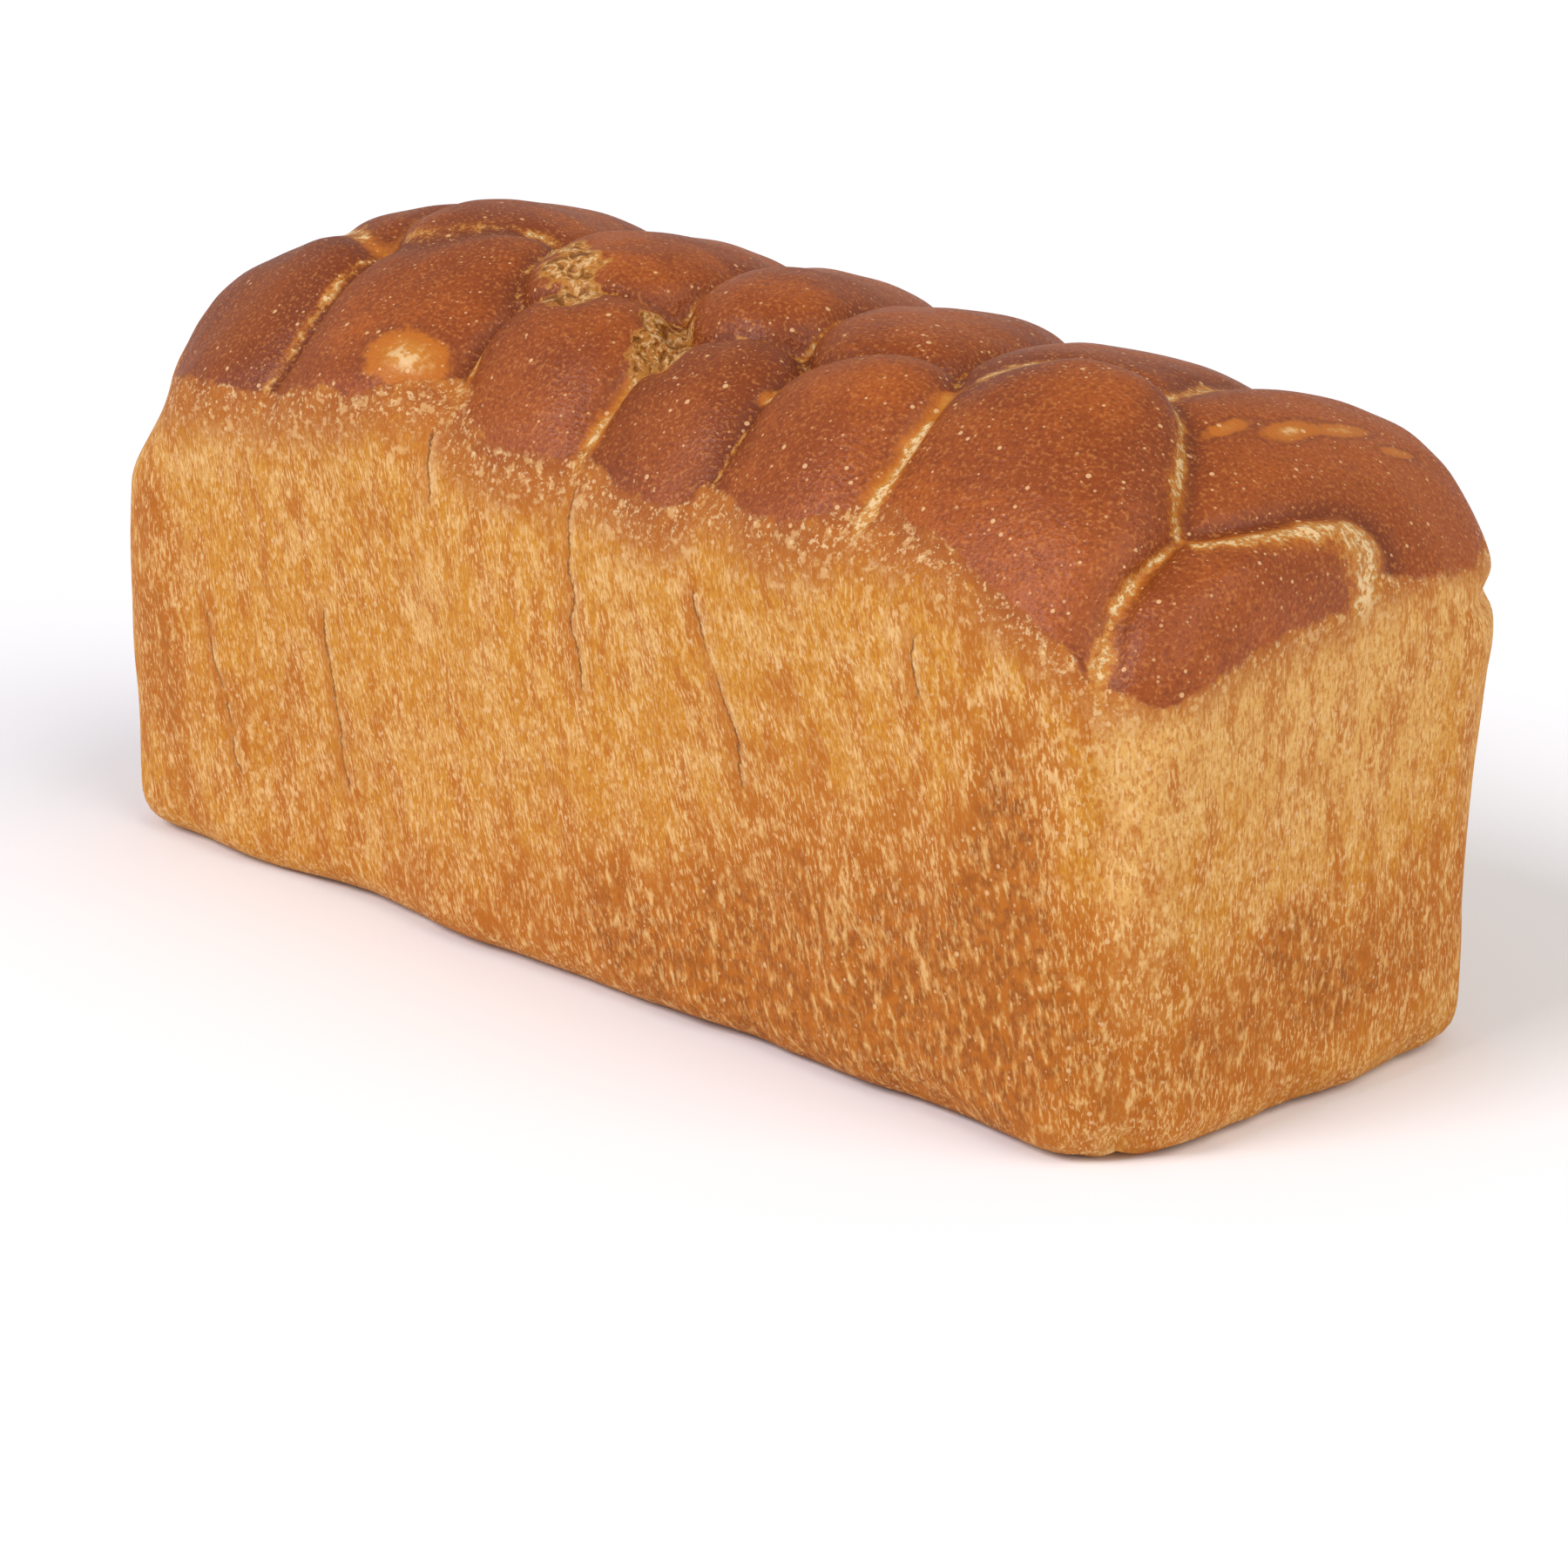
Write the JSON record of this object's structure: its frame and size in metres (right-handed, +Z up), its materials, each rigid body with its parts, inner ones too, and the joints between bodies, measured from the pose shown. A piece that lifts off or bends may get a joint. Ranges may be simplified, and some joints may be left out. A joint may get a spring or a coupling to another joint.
{
  "type": "tin loaf",
  "caption": "Whole plaited tin loaf: straight sides and ends from the tin, and a domed top of plaited strands that swell out between their seams.",
  "frame": {"origin": "middle of the flat base, on the surface the loaf stands on", "axes": "+X runs along the loaf towards the end that a lobe folds over, +Y runs across it towards the back row of lobes, +Z is up"},
  "size_m": [0.2878, 0.1118, 0.1317],
  "materials": {
    "crust": "baked crust, glazed and browned on top, matt golden tan on the sides"
  },
  "bodies": {
    "root": {"loaf": "crust"}
  },
  "joints": []
}
